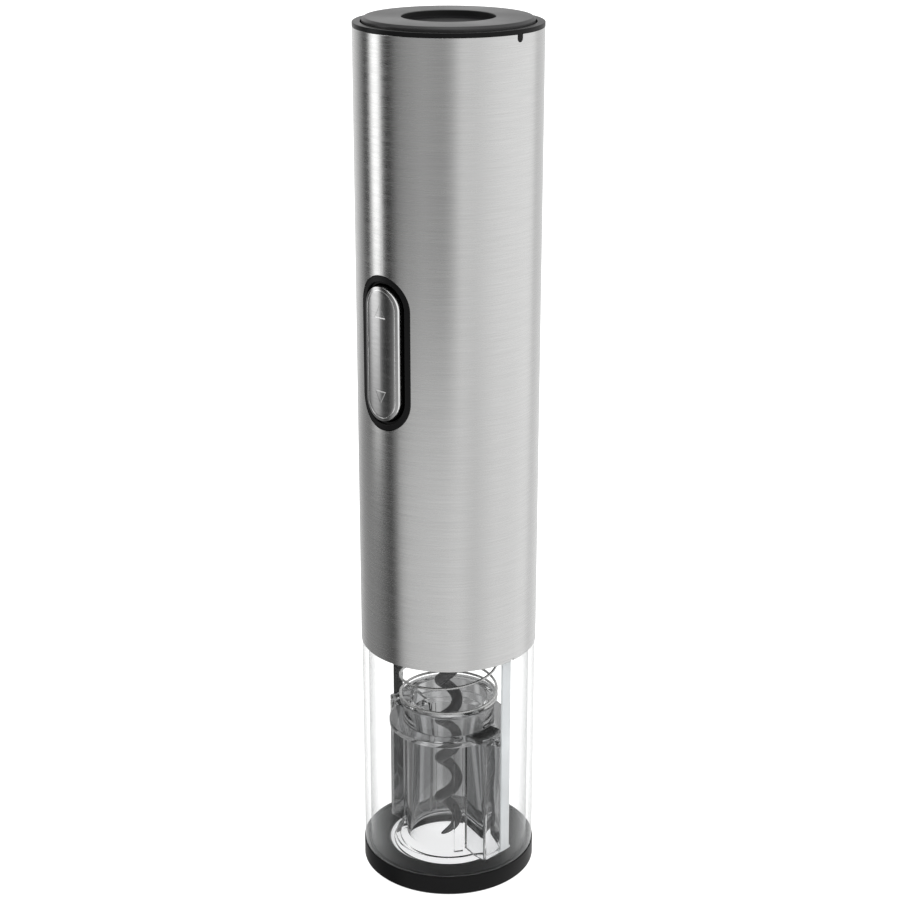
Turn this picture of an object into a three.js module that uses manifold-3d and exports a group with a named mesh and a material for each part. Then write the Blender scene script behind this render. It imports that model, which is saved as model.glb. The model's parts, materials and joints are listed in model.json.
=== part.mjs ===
// Electric wine opener: a battery motor drives a corkscrew through two planetary stages.
// Millimetres, +Z up. The origin is the centre of the flat underside, and the rocker faces -Y.
import * as THREE from 'three';
import { mergeVertices } from 'three/addons/utils/BufferGeometryUtils.js';
import Module from 'manifold-3d';

const wasm = await Module();
wasm.setup();

// ---- driving dimensions -------------------------------------------------------------------

const BODY_RADIUS = 25;
const SHELL_WALL = 0.8;
const SHELL_LOW = 71;
const SHELL_HIGH = 243.6;
const RIM_HIGH = 244.8;
const COVER_HIGH = 246;
const BASE_HIGH = 5.8;
const BASE_HOLE_RADIUS = 17.6;
const SLEEVE_OUTER = 24.8;
const SLEEVE_INNER = 23;
const SPIGOT_HIGH = 85;

const ROCKER_MIDDLE = 160.5;
const ROCKER_CROWN = 25.9;
const ROCKER_HALF_WIDTH = 6.1;
const ROCKER_HALF_LENGTH = 18.5;
const ROCKER_BACK = 22.3;
const ROCKER_GAP = 0.5;
const BEZEL_HALF_WIDTH = 8.75;
const BEZEL_HALF_LENGTH = 21.15;
const BEZEL_BACK = 19.4;
const BEZEL_GAP = 0.15;
const FLANGE_HALF_WIDTH = 9.8;
const FLANGE_HALF_LENGTH = 22.15;
const FLANGE_INNER = 22.7;
const PIN_DEPTH = 20.6;
const PIN_RADIUS = 0.9;
const PIN_GAP = 0.12;
const SWITCH_SPACING = 12;
const BOARD_BACK = 15;
const BOARD_FRONT = 16.6;
const SWITCH_FRONT = 20.2;
const STEM_FRONT = 21.2;
const STEM_BACK = 19;

const CHASSIS_RADIUS = 23.9;
const CHASSIS_INNER = 22.5;
const CHASSIS_LOW = 112;
const CHASSIS_HIGH = 184.4;

const CELL_RADIUS = 7.25;
const CELL_LOW = 186.6;
const CELL_HIGH = 237.1;
const CELL_OFFSET = 7.8;
const NUB_RADIUS = 2.75;
const NUB_HEIGHT = 1;
const TRAY_LOW = 184.6;
const TRAY_FLOOR = 186;
const TRAY_HIGH = 235.5;

const COVER_RADIUS = 22.5;
const SKIRT_RADIUS = 21.2;
const WELL_RADIUS = 12.3;
const COLLAR_BORE = 22.9;
const COVER_TURN = 60;
const COVER_LIFT = 3;
const LUG_HALF_ANGLE = 7;
const LUG_ANGLES = [90, 210, 330];

const MOTOR_RADIUS = 12;
const MOTOR_LOW = 141.2;
const MOTOR_HIGH = 170.2;
const SHAFT_RADIUS = 1.15;
const SHAFT_GAP = 0.1;
const SHAFT_LOW = 130.9;

const GEAR_MODULE = 0.55;
const SUN_TEETH = 9;
const PLANET_TEETH = 15;
const RING_TEETH = 39;
const ADDENDUM = 0.8;
const DEDENDUM = 1.1;
const TIP_HALF_WIDTH = 0.3;
const ROOT_HALF_WIDTH = 0.84;
const PLANET_ORBIT = GEAR_MODULE * (SUN_TEETH + PLANET_TEETH) / 2;
const PLANET_ANGLES = [0, 120, 240];
const GEARBOX_RADIUS = 13.2;
const GEARBOX_LOW = 114.3;
const GEARBOX_HIGH = 138.2;
const RING_LOW = 119.4;
const BUSH_RADIUS = 6.35;
const CARRIER_RADIUS = 9.4;
const CARRIER_PIN = 1.1;
const STAGE_1 = { low: 130.8, high: 136.6 };
const STAGE_2 = { low: 121.8, high: 128 };

const OUTPUT_RADIUS = 3.9;
const CHUCK_RADIUS = 5.8;
const CHUCK_LOW = 97;
const CHUCK_HIGH = 111.4;
const CHUCK_PIN_Z = 107;
const CHUCK_PIN_RADIUS = 0.9;
const CHUCK_PIN_GAP = 0.15;
const WORM_TOP = 101.2;
const WORM_RADIUS = 2.5;
const WORM_WIRE = 1.6;
const WORM_PITCH = 12.67;
const WORM_TIP = 7;
const WORM_LEFTMOST = 18.4;
const WORM_LEFT_ANGLE = 224.2;

const GUIDE_BORE = 11;
const GUIDE_OUTER = 12.3;
const GUIDE_COLLAR = 13.3;
const GUIDE_LIP = 14.2;
const RIB_OUTER = 13.4;
const FIN_NEAR = 11.2;
const FIN_THICK = 0.9;
const GUIDE_HIGH = 51.5;
const GUIDE_FLANGE_LOW = 43.2;
const GUIDE_FLANGE_HIGH = 44.8;
const GUIDE_FLANGE_RADIUS = 17.3;
const WING_OUTER = 19.6;
const WING_SPAN = [-4.8, 4.3];
const WING_LOW = 6.2;
const TONGUE_SPAN = [-2.4, 2];
const SPRING_RADIUS = 14;
const SPRING_WIRE = 0.38;
const SPRING_PITCH = 8.8;
const RAIL_INNER = 21.5;
const RAIL_OUTER = 22.1;
const RAIL_MIDDLE = 0.8;
const RAIL_HALF_WIDTH = 1.7;
const RAIL_LOW = 8.8;

const ROUND = 36;
const HIDDEN = 24;
const MEDIUM = 20;
const SMALL = 12;

// ---- materials ----------------------------------------------------------------------------

const material = (color, roughness, metalness) =>
  new THREE.MeshStandardMaterial({ color, roughness, metalness });
const clear = (color, opacity) =>
  new THREE.MeshStandardMaterial({ color, roughness: 0.08, metalness: 0, transparent: true, opacity });

const MATERIALS = {
  steel: material(0xb9b9b7, 0.28, 1),
  brightSteel: material(0xc9c9c6, 0.2, 1),
  blackPlastic: material(0x1c1c1d, 0.42, 0),
  capPlastic: material(0x262627, 0.4, 0),
  innerPlastic: material(0x2b2b2d, 0.6, 0),
  greyPlastic: material(0xc3c7c8, 0.45, 0),
  whitePlastic: material(0xe6e5e0, 0.5, 0),
  clearSleeve: clear(0xe9eef0, 0.18),
  clearGuide: clear(0xc9ced0, 0.4),
  wormCoating: material(0x3f3f40, 0.35, 0.6),
  springSteel: material(0xa6a6a4, 0.3, 1),
  nickel: material(0xc6c2b8, 0.3, 1),
  zinc: material(0x9fa2a5, 0.35, 1),
  sintered: material(0x6f6f70, 0.5, 0.9),
  brass: material(0xb8934a, 0.35, 1),
  copper: material(0xa35a2c, 0.4, 0.9),
  magnet: material(0x3a3836, 0.6, 0.4),
  circuitBoard: material(0x2a5a34, 0.5, 0),
  cellJacket: material(0x3d4247, 0.35, 0.3),
  redWire: material(0xa02420, 0.5, 0),
  blackWire: material(0x202020, 0.5, 0),
};

// ---- joining and cutting ------------------------------------------------------------------

function toSolid(geometry) {
  const bare = geometry.clone();
  bare.deleteAttribute('normal');
  bare.deleteAttribute('uv');
  const welded = mergeVertices(bare, 1e-4);
  const corners = welded.index.array;
  const kept = [];
  for (let i = 0; i < corners.length; i += 3) {
    const [a, b, c] = [corners[i], corners[i + 1], corners[i + 2]];
    if (a !== b && b !== c && c !== a) kept.push(a, b, c);
  }
  const vertProperties = new Float32Array(welded.attributes.position.array);
  const triVerts = new Uint32Array(kept);
  return new wasm.Manifold(new wasm.Mesh({ numProp: 3, vertProperties, triVerts }));
}

function toGeometry(solid) {
  const { vertProperties, triVerts } = solid.getMesh();
  const geometry = new THREE.BufferGeometry();
  geometry.setAttribute('position', new THREE.BufferAttribute(vertProperties, 3));
  geometry.setIndex(new THREE.BufferAttribute(triVerts, 1));
  geometry.computeVertexNormals();
  return geometry;
}

function join(first, ...others) {
  let solid = toSolid(first);
  for (const other of others) solid = solid.add(toSolid(other));
  return toGeometry(solid);
}

function cut(first, ...tools) {
  let solid = toSolid(first);
  for (const tool of tools) solid = solid.subtract(toSolid(tool));
  return toGeometry(solid);
}

function common(first, second) {
  return toGeometry(toSolid(first).intersect(toSolid(second)));
}

// ---- simple shapes ------------------------------------------------------------------------

const radians = (degrees) => degrees * Math.PI / 180;
const pointAt = (angle, radius) => new THREE.Vector2(radius * Math.cos(angle), radius * Math.sin(angle));

// A turned part about Z. The profile is [radius, height] pairs, anticlockwise: out along the
// bottom, up the outside and back. It closes on itself unless it starts on the axis.
function turned(profile, sides = ROUND) {
  const points = profile.map(([radius, height]) => new THREE.Vector2(radius, height));
  if (points[0].x > 0) points.push(points[0].clone());
  return new THREE.LatheGeometry(points, sides).rotateX(Math.PI / 2);
}

function tube(inner, outer, low, high, sides = ROUND) {
  return turned([[inner, low], [outer, low], [outer, high], [inner, high]], sides);
}

function rod(radius, low, high, sides = SMALL) {
  return turned([[0, low], [radius, low], [radius, high], [0, high]], sides);
}

function rodAlongX(radius, from, to, y, z) {
  return rod(radius, from, to).rotateY(Math.PI / 2).translate(0, y, z);
}

function rodAlongY(radius, from, to, x, z) {
  return rod(radius, from, to).rotateX(-Math.PI / 2).translate(x, 0, z);
}

function block([x0, x1], [y0, y1], [z0, z1]) {
  const box = new THREE.BoxGeometry(x1 - x0, y1 - y0, z1 - z0);
  return box.translate((x0 + x1) / 2, (y0 + y1) / 2, (z0 + z1) / 2);
}

// A block bent round the Z axis, which may climb evenly from its first angle to its last.
function arcBlock([from, to], [inner, outer], [low, high], climb = 0, steps = 8) {
  const box = new THREE.BoxGeometry(1, 1, 1, steps, 1, 1);
  const corner = box.attributes.position;
  for (let i = 0; i < corner.count; i += 1) {
    const along = 0.5 - corner.getX(i);
    const angle = radians(from + (to - from) * along);
    const radius = inner + (outer - inner) * (corner.getY(i) + 0.5);
    const height = low + (high - low) * (corner.getZ(i) + 0.5) + climb * along;
    corner.setXYZ(i, radius * Math.cos(angle), radius * Math.sin(angle), height);
  }
  return box;
}

// A stadium-shaped block through the front of the body, between two depths in front of the axis.
function stadium(halfWidth, halfLength, [back, front]) {
  const straight = halfLength - halfWidth;
  const outline = new THREE.Shape();
  outline.absarc(0, straight, halfWidth, 0, Math.PI);
  outline.absarc(0, -straight, halfWidth, Math.PI, 2 * Math.PI);
  const options = { depth: front - back, bevelEnabled: false, curveSegments: 5 };
  const body = new THREE.ExtrudeGeometry(outline, options);
  return body.rotateX(Math.PI / 2).translate(0, -back, ROCKER_MIDDLE);
}

// A rod that follows a curve. Its radius may change along the way.
function bentRod(curve, steps, sides, radiusAt) {
  const straight = new THREE.CylinderGeometry(1, 1, 1, sides, steps);
  const frames = curve.computeFrenetFrames(steps);
  const corner = straight.attributes.position;
  const point = new THREE.Vector3();
  for (let i = 0; i < corner.count; i += 1) {
    const along = corner.getY(i) + 0.5;
    const station = Math.round(along * steps);
    const radius = radiusAt(along);
    point.copy(curve.getPointAt(along));
    point.addScaledVector(frames.binormals[station], radius * corner.getX(i));
    point.addScaledVector(frames.normals[station], radius * corner.getZ(i));
    corner.setXYZ(i, point.x, point.y, point.z);
  }
  return straight;
}

// ---- the outside: shell, collar, sleeve and base ------------------------------------------

function steelShell() {
  const wall = tube(BODY_RADIUS - SHELL_WALL, BODY_RADIUS, SHELL_LOW, SHELL_HIGH);
  const window = stadium(BEZEL_HALF_WIDTH + BEZEL_GAP, BEZEL_HALF_LENGTH + BEZEL_GAP, [20, 27]);
  const keyway = block([23, 27], [-1, 1], [242.6, 245]);
  const keywayRound = rodAlongX(1, 23, 27, 0, 242.6);
  const lowerNotch = block([23, 27], [-0.5, 0.5], [70, 71.5]);
  return cut(wall, window, keyway, keywayRound, lowerNotch);
}

function topCollar() {
  const ring = turned([
    [22.6, 234.5], [24, 234.5], [24, 243.7], [BODY_RADIUS, 243.7],
    [BODY_RADIUS, RIM_HIGH - 0.2], [BODY_RADIUS - 0.2, RIM_HIGH],
    [COLLAR_BORE, RIM_HIGH], [COLLAR_BORE, 242], [21.5, 242], [21.5, 236], [22.6, 236],
  ]);
  const key = block([23.5, 24.95], [-0.8, 0.8], [242.2, 243.9]);
  const keyRound = rodAlongX(0.8, 23.5, 24.95, 0, 242.5);
  const slots = LUG_ANGLES.flatMap((angle) => lugPath(angle));
  return cut(join(ring, key, keyRound), ...slots);
}

const LUG_LOW = 237.3;
const LUG_HIGH = 238.8;
const LUG_SLACK = 0.3;
const CLIMB_PER_DEGREE = COVER_LIFT / COVER_TURN;

// The helical slot that a lug climbs, and the open mouth at its upper end.
function lugPath(angle) {
  const from = angle - LUG_HALF_ANGLE - 1;
  const to = angle + COVER_TURN + LUG_HALF_ANGLE + 1;
  const drop = CLIMB_PER_DEGREE * (angle - from);
  const heights = [LUG_LOW - LUG_SLACK - drop, LUG_HIGH + LUG_SLACK - drop];
  const slot = arcBlock([from, to], [20.8, 22.7], heights, CLIMB_PER_DEGREE * (to - from), 8);
  const mouthFrom = to - 2 * LUG_HALF_ANGLE - 2;
  const mouth = arcBlock([mouthFrom, to], [20.8, 22.7], [240.5, 243], 0, 2);
  return [slot, mouth];
}

function clearSleeve() {
  return turned([
    [23.3, 3.1], [24, 3.1], [24, BASE_HIGH + 0.1], [SLEEVE_OUTER, BASE_HIGH + 0.1],
    [SLEEVE_OUTER, SHELL_LOW - 0.1], [24, SHELL_LOW - 0.1], [24, SPIGOT_HIGH],
    [22.7, SPIGOT_HIGH], [22.7, SHELL_LOW + 1], [SLEEVE_INNER, SHELL_LOW - 1],
    [SLEEVE_INNER, BASE_HIGH + 0.1], [23.3, BASE_HIGH + 0.1],
  ]);
}

function baseRing() {
  return turned([
    [BASE_HOLE_RADIUS, 0.5], [BASE_HOLE_RADIUS + 0.5, 0], [24.5, 0], [BODY_RADIUS, 0.5],
    [BODY_RADIUS, BASE_HIGH], [24.2, BASE_HIGH], [24.2, 3], [23.1, 3], [23.1, BASE_HIGH],
    [18.1, BASE_HIGH], [BASE_HOLE_RADIUS, BASE_HIGH - 0.5],
  ]);
}

// ---- the battery compartment --------------------------------------------------------------

function batteryCover() {
  const disc = turned([
    [0, 241.8], [1.4, 241.8], [1.4, 239.6], [3.2, 239.6], [3.2, 242.2], [19.8, 242.2],
    [19.8, 236.8], [SKIRT_RADIUS, 236.8], [SKIRT_RADIUS, 242.2], [COVER_RADIUS, 242.2],
    [COVER_RADIUS, COVER_HIGH - 0.7], [COVER_RADIUS - 0.6, COVER_HIGH],
    [WELL_RADIUS, COVER_HIGH], [WELL_RADIUS - 0.3, COVER_HIGH - 1.8], [0, COVER_HIGH - 1.8],
  ]);
  const climb = CLIMB_PER_DEGREE * 2 * LUG_HALF_ANGLE;
  const lugs = LUG_ANGLES.map((angle) => {
    const span = [angle - LUG_HALF_ANGLE, angle + LUG_HALF_ANGLE];
    const heights = [LUG_LOW - climb / 2, LUG_HIGH - climb / 2];
    return arcBlock(span, [20.9, 22.4], heights, climb, 2);
  });
  return join(disc, ...lugs);
}

function contactDisc() {
  return tube(1.7, 19.4, 237.75, 239.2, MEDIUM);
}

function coverScrew() {
  return turned([
    [0, 236.6], [2.4, 236.6], [2.4, 237.6], [1.1, 237.6], [1.1, 241.4], [0, 241.4],
  ], SMALL);
}

function coverContact(side) {
  const x = side * CELL_OFFSET;
  return block([x - 3, x + 3], [-11, 11], [237.3, 237.6]);
}

function cell(nubUp) {
  const profile = [
    [0, 0], [CELL_RADIUS, 0], [CELL_RADIUS, CELL_HIGH - CELL_LOW - NUB_HEIGHT],
    [NUB_RADIUS, CELL_HIGH - CELL_LOW - NUB_HEIGHT], [NUB_RADIUS, CELL_HIGH - CELL_LOW],
    [0, CELL_HIGH - CELL_LOW],
  ];
  const upright = turned(profile, 16);
  if (nubUp) return upright.translate(0, 0, CELL_LOW);
  return upright.rotateX(Math.PI).translate(0, 0, CELL_HIGH);
}

const CELL_PLACES = [
  { x: CELL_OFFSET, y: CELL_OFFSET, nubUp: true },
  { x: -CELL_OFFSET, y: CELL_OFFSET, nubUp: false },
  { x: -CELL_OFFSET, y: -CELL_OFFSET, nubUp: true },
  { x: CELL_OFFSET, y: -CELL_OFFSET, nubUp: false },
];

const TAB_Y = -10.5;

function batteryTray() {
  const wells = CELL_PLACES.map(({ x, y }) => rod(8.4, TRAY_LOW, TRAY_HIGH, 16).translate(x, y, 0));
  const floor = rod(23.6, TRAY_LOW, TRAY_FLOOR, MEDIUM);
  const flange = rod(22.3, TRAY_HIGH - 1.3, TRAY_HIGH, MEDIUM);
  const bores = CELL_PLACES.map(({ x, y }) => rod(7.6, TRAY_FLOOR, TRAY_HIGH + 1, 16).translate(x, y, 0));
  const middleHole = rod(2, TRAY_LOW - 1, TRAY_HIGH + 1);
  const linkSlot = block([-4, 4], [CELL_OFFSET - 2.8, CELL_OFFSET + 2.8], [TRAY_FLOOR, TRAY_FLOOR + 1.5]);
  const tabSlots = [-1, 1].map((side) => {
    const x = side * CELL_OFFSET;
    return block([x - 1.6, x + 1.6], [TAB_Y - 0.6, TAB_Y + 0.6], [TRAY_LOW - 1, TRAY_FLOOR + 1]);
  });
  return cut(join(floor, flange, ...wells), ...bores, middleHole, linkSlot, ...tabSlots);
}

function trayLinkContact() {
  return block([-10.6, 10.6], [CELL_OFFSET - 2.4, CELL_OFFSET + 2.4], [186.1, 186.4]);
}

function trayTerminal(side) {
  const x = side * CELL_OFFSET;
  const plate = block([x - 3, x + 3], [-10.7, -5], [186.1, 186.4]);
  const tab = block([x - 1.2, x + 1.2], [TAB_Y - 0.2, TAB_Y + 0.2], [180.5, 186.3]);
  return join(plate, tab);
}

// ---- the chassis and the guide rails ------------------------------------------------------

const CHASSIS_SCREW_X = 18;
const CHASSIS_SCREW_Z = 124;

function wholeChassis() {
  const wall = tube(CHASSIS_INNER, CHASSIS_RADIUS, CHASSIS_LOW, CHASSIS_HIGH, HIDDEN);
  const springSeat = tube(7, 23, CHASSIS_LOW, 114, HIDDEN);
  const springBoss = tube(12.2, 13.2, 108, 112.5, MEDIUM);
  const gearboxShelf = tube(13.5, 23, 133, 135, HIDDEN);
  const motorShelf = tube(12.3, 23, 164, 166, HIDDEN);
  const topRing = tube(16, 23, CHASSIS_HIGH - 2, CHASSIS_HIGH, HIDDEN);
  const boardLedge = block([-7, 7], [-22.9, -14.4], [136.5, 138.4]);
  const sides = [-1, 1];
  const bosses = sides.map((side) => {
    const x = side * 19;
    return block([x - 3.9, x + 3.9], [-6.5, 6.5], [121, 127]);
  });
  const body = join(wall, springSeat, springBoss, gearboxShelf, motorShelf, topRing, boardLedge, ...bosses);
  const round = common(body, rod(CHASSIS_RADIUS, 100, 200, HIDDEN));
  const window = stadium(FLANGE_HALF_WIDTH + 0.3, FLANGE_HALF_LENGTH + 0.35, [19, 27]);
  const switchRoom = block([-9.6, 9.6], [-23.2, -13.5], [139, 182]);
  const gearboxRoom = rod(13.5, 114.15, 138.4, MEDIUM);
  const screwHoles = sides.map((side) => rodAlongY(1.1, -5, 12, side * CHASSIS_SCREW_X, CHASSIS_SCREW_Z));
  const headHoles = sides.map((side) => rodAlongY(2.1, 5, 12, side * CHASSIS_SCREW_X, CHASSIS_SCREW_Z));
  const railSlots = sides.map((side) => {
    const x = side * 21.6;
    return block([x - 0.8, x + 0.8], [RAIL_MIDDLE - 2.1, RAIL_MIDDLE + 2.1], [CHASSIS_LOW - 1, 114.5]);
  });
  return cut(round, window, switchRoom, gearboxRoom, ...screwHoles, ...headHoles, ...railSlots);
}

function chassisHalf(side) {
  const y = side * 15.05;
  return common(wholeChassis(), block([-30, 30], [y - 15, y + 15], [100, 190]));
}

function chassisScrew() {
  return turned([[0, -4.6], [0.6, -4.6], [0.95, -4], [0.95, 5.2], [1.9, 5.2], [1.9, 6.2], [0, 6.2]], 12);
}

function guideRail(side) {
  const y0 = RAIL_MIDDLE - RAIL_HALF_WIDTH;
  const y1 = RAIL_MIDDLE + RAIL_HALF_WIDTH;
  const along = (x0, x1) => (side > 0 ? [x0, x1] : [-x1, -x0]);
  const strip = block(along(RAIL_INNER, RAIL_OUTER), [y0, y1], [RAIL_LOW, 116.2]);
  const head = block(along(RAIL_INNER - 0.9, RAIL_OUTER - 0.1), [y0 - 1, y1 + 0.4], [114.6, 116.2]);
  const foot = block(along(RAIL_INNER - 0.7, RAIL_OUTER), [y0 - 0.4, y1 + 0.5], [RAIL_LOW, RAIL_LOW + 0.7]);
  return join(strip, head, foot);
}

// ---- the rocker and its switches ----------------------------------------------------------

function switchBezel() {
  const cylinder = rod(BODY_RADIUS, 130, 190, ROUND);
  const collar = common(stadium(BEZEL_HALF_WIDTH, BEZEL_HALF_LENGTH, [BEZEL_BACK, 27]), cylinder);
  const flangeBlock = stadium(FLANGE_HALF_WIDTH, FLANGE_HALF_LENGTH, [19, 27]);
  const flange = common(flangeBlock, tube(FLANGE_INNER, CHASSIS_RADIUS, 130, 190));
  const halfWidth = ROCKER_HALF_WIDTH + ROCKER_GAP;
  const halfLength = ROCKER_HALF_LENGTH + ROCKER_GAP;
  const room = stadium(halfWidth, halfLength, [15, 30]);
  const pinHole = rodAlongX(PIN_RADIUS + PIN_GAP, -8.2, 8.2, -PIN_DEPTH, ROCKER_MIDDLE);
  return cut(join(collar, flange), room, pinHole);
}

function rockerButton() {
  const crown = rod(ROCKER_CROWN, 130, 190, 96);
  const plate = common(stadium(ROCKER_HALF_WIDTH, ROCKER_HALF_LENGTH, [ROCKER_BACK, 27]), crown);
  const hub = rodAlongX(2, -5.9, 5.9, -PIN_DEPTH, ROCKER_MIDDLE);
  const nubs = [-1, 1].map((side) => {
    const z = ROCKER_MIDDLE + side * SWITCH_SPACING;
    return rodAlongY(1.2, -(ROCKER_BACK + 0.5), -(STEM_FRONT + 0.15), 0, z);
  });
  const pinHole = rodAlongX(PIN_RADIUS + PIN_GAP, -8, 8, -PIN_DEPTH, ROCKER_MIDDLE);
  return cut(join(plate, hub, ...nubs), pinHole);
}

function rockerPin() {
  return rodAlongX(PIN_RADIUS, -8, 8, -PIN_DEPTH, ROCKER_MIDDLE);
}

function switchBoard() {
  return block([-6.5, 6.5], [-BOARD_FRONT, -BOARD_BACK], [138.6, 182.1]);
}

function tactSwitch(side) {
  const z = ROCKER_MIDDLE + side * SWITCH_SPACING;
  const body = block([-3, 3], [-SWITCH_FRONT, -BOARD_FRONT - 0.1], [z - 3, z + 3]);
  return cut(body, rodAlongY(1.8, -SWITCH_FRONT - 1, -18, 0, z));
}

function switchStem(side) {
  return rodAlongY(1.55, -STEM_FRONT, -STEM_BACK, 0, ROCKER_MIDDLE + side * SWITCH_SPACING);
}

// ---- the motor ----------------------------------------------------------------------------

function motorCan() {
  const can = turned([
    [1.5, 139.6], [3.9, 139.6], [3.9, MOTOR_LOW], [MOTOR_RADIUS - 0.6, MOTOR_LOW],
    [MOTOR_RADIUS, MOTOR_LOW + 0.6], [MOTOR_RADIUS, MOTOR_HIGH], [MOTOR_RADIUS - 1, MOTOR_HIGH],
    [MOTOR_RADIUS - 1, MOTOR_LOW + 1.2], [1.5, MOTOR_LOW + 1.2],
  ], MEDIUM);
  const holes = [-1, 1].map((side) => rod(1.15, MOTOR_LOW - 1, MOTOR_LOW + 2, 12).translate(side * 8, 0, 0));
  return cut(can, ...holes);
}

function motorEndCap() {
  return turned([
    [1.5, 169], [10.8, 169], [10.8, MOTOR_HIGH + 0.1], [MOTOR_RADIUS - 0.1, MOTOR_HIGH + 0.1],
    [MOTOR_RADIUS - 0.1, 171.6], [5, 171.6], [4.4, 172.6], [1.5, 172.6],
  ], MEDIUM);
}

function motorMagnet(middle) {
  return arcBlock([middle - 60, middle + 60], [8.95, 10.8], [145, 166], 0, 10);
}

// Five poles with slots between them, and the commutator above.
function motorArmature() {
  const poles = 5;
  const pole = [
    [-32, 3.4], [-12, 4.2], [-12, 6.8], [-31, 7.4], [-27, 8.5], [-9, 8.6],
    [9, 8.6], [27, 8.5], [31, 7.4], [12, 6.8], [12, 4.2],
  ];
  const points = [];
  for (let i = 0; i < poles; i += 1) {
    for (const [offset, radius] of pole) points.push(pointAt(radians(i * 360 / poles + offset), radius));
  }
  const outline = new THREE.Shape(points);
  const core = new THREE.ExtrudeGeometry(outline, { depth: 17, bevelEnabled: false }).translate(0, 0, 147);
  const commutator = rod(2.6, 162, 168.5);
  const windings = tube(2, 6.6, 146, 165.5, SMALL);
  const bore = rod(SHAFT_RADIUS + SHAFT_GAP, 140, 175);
  return cut(join(core, commutator, windings), bore);
}

function motorShaft() {
  return rod(SHAFT_RADIUS, SHAFT_LOW, 173.2);
}

// ---- the planetary gearbox ----------------------------------------------------------------

// Straight-flanked teeth, with widths in modules. A gear has a tooth along +X. A ring's teeth point
// inwards, and it has a space there.
function toothOutline(teeth, isRing = false) {
  const pitchRadius = GEAR_MODULE * teeth / 2;
  const outwards = isRing ? -1 : 1;
  const turn = isRing ? 0.5 : 0;
  const corners = [
    [-ROOT_HALF_WIDTH, -DEDENDUM], [-TIP_HALF_WIDTH, ADDENDUM],
    [TIP_HALF_WIDTH, ADDENDUM], [ROOT_HALF_WIDTH, -DEDENDUM],
  ];
  const points = [];
  for (let tooth = 0; tooth < teeth; tooth += 1) {
    for (const [across, out] of corners) {
      const radius = pitchRadius + outwards * out * GEAR_MODULE;
      const angle = 2 * Math.PI * (tooth + turn) / teeth + across * GEAR_MODULE / radius;
      points.push(pointAt(angle, radius));
    }
  }
  return new THREE.Shape(points);
}

function gear(teeth, bore, low, high) {
  const outline = toothOutline(teeth);
  if (bore > 0) {
    const hole = new THREE.Path();
    hole.absarc(0, 0, bore, 0, 2 * Math.PI, true);
    outline.holes.push(hole);
  }
  const options = { depth: high - low, bevelEnabled: false, curveSegments: 4 };
  return new THREE.ExtrudeGeometry(outline, options).translate(0, 0, low);
}

function gearboxHousing() {
  const body = rod(GEARBOX_RADIUS, GEARBOX_LOW, GEARBOX_HIGH, MEDIUM);
  const options = { depth: 30, bevelEnabled: false };
  const outline = toothOutline(RING_TEETH, true);
  const toothedRoom = new THREE.ExtrudeGeometry(outline, options).translate(0, 0, RING_LOW);
  const bushHole = rod(BUSH_RADIUS + 0.15, GEARBOX_LOW - 1, RING_LOW + 1, MEDIUM);
  return cut(body, toothedRoom, bushHole);
}

const MOTOR_SCREW_X = 8;

function gearboxTopPlate() {
  const plate = tube(4.2, GEARBOX_RADIUS, GEARBOX_HIGH + 0.1, 141, MEDIUM);
  const tools = [-1, 1].flatMap((side) => [
    rod(1.15, 130, 145, 12).translate(side * MOTOR_SCREW_X, 0, 0),
    rod(2.1, 130, 139.6, 12).translate(side * MOTOR_SCREW_X, 0, 0),
  ]);
  return cut(plate, ...tools);
}

function motorScrew() {
  return turned([[0, 138.5], [1.9, 138.5], [1.9, 139.5], [0.95, 139.5], [0.95, 142.6], [0, 142.6]], 12);
}

function outputBush() {
  return tube(OUTPUT_RADIUS + 0.25, BUSH_RADIUS, GEARBOX_LOW, RING_LOW, HIDDEN);
}

function planet({ low, high }) {
  return gear(PLANET_TEETH, CARRIER_PIN + 0.12, low, high);
}

function carrierPins(low, high) {
  return PLANET_ANGLES.map((angle) =>
    rod(CARRIER_PIN, low, high, 16).translate(PLANET_ORBIT, 0, 0).rotateZ(radians(angle)));
}

function stage1Carrier() {
  const disc = rod(CARRIER_RADIUS, 128.7, 130.4, MEDIUM);
  const secondSun = gear(SUN_TEETH, 0, 121.9, 129);
  return join(disc, secondSun, ...carrierPins(130, 137));
}

function outputCarrier() {
  const shaft = turned([
    [0, 103], [OUTPUT_RADIUS - 0.4, 103], [OUTPUT_RADIUS, 103.4], [OUTPUT_RADIUS, 119.8],
    [CARRIER_RADIUS, 119.8], [CARRIER_RADIUS, 121.4], [0, 121.4],
  ], MEDIUM);
  const pinHole = rodAlongX(CHUCK_PIN_RADIUS + CHUCK_PIN_GAP, -8, 8, 0, CHUCK_PIN_Z);
  return cut(join(shaft, ...carrierPins(121, 128.3)), pinHole);
}

// ---- the chuck, the worm, the cork guide and its spring -----------------------------------

function wormChuck() {
  const body = turned([
    [0, 101.4], [WORM_WIRE + 0.15, 101.4], [WORM_WIRE + 0.15, CHUCK_LOW], [CHUCK_RADIUS - 1, CHUCK_LOW],
    [CHUCK_RADIUS, CHUCK_LOW + 1], [CHUCK_RADIUS, CHUCK_HIGH], [OUTPUT_RADIUS + 0.15, CHUCK_HIGH],
    [OUTPUT_RADIUS + 0.15, 102.6], [0, 102.6],
  ], MEDIUM);
  return cut(body, rodAlongX(CHUCK_PIN_RADIUS + CHUCK_PIN_GAP, -8, 8, 0, CHUCK_PIN_Z));
}

function chuckPin() {
  return rodAlongX(CHUCK_PIN_RADIUS, -5.6, 5.6, 0, CHUCK_PIN_Z);
}

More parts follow.
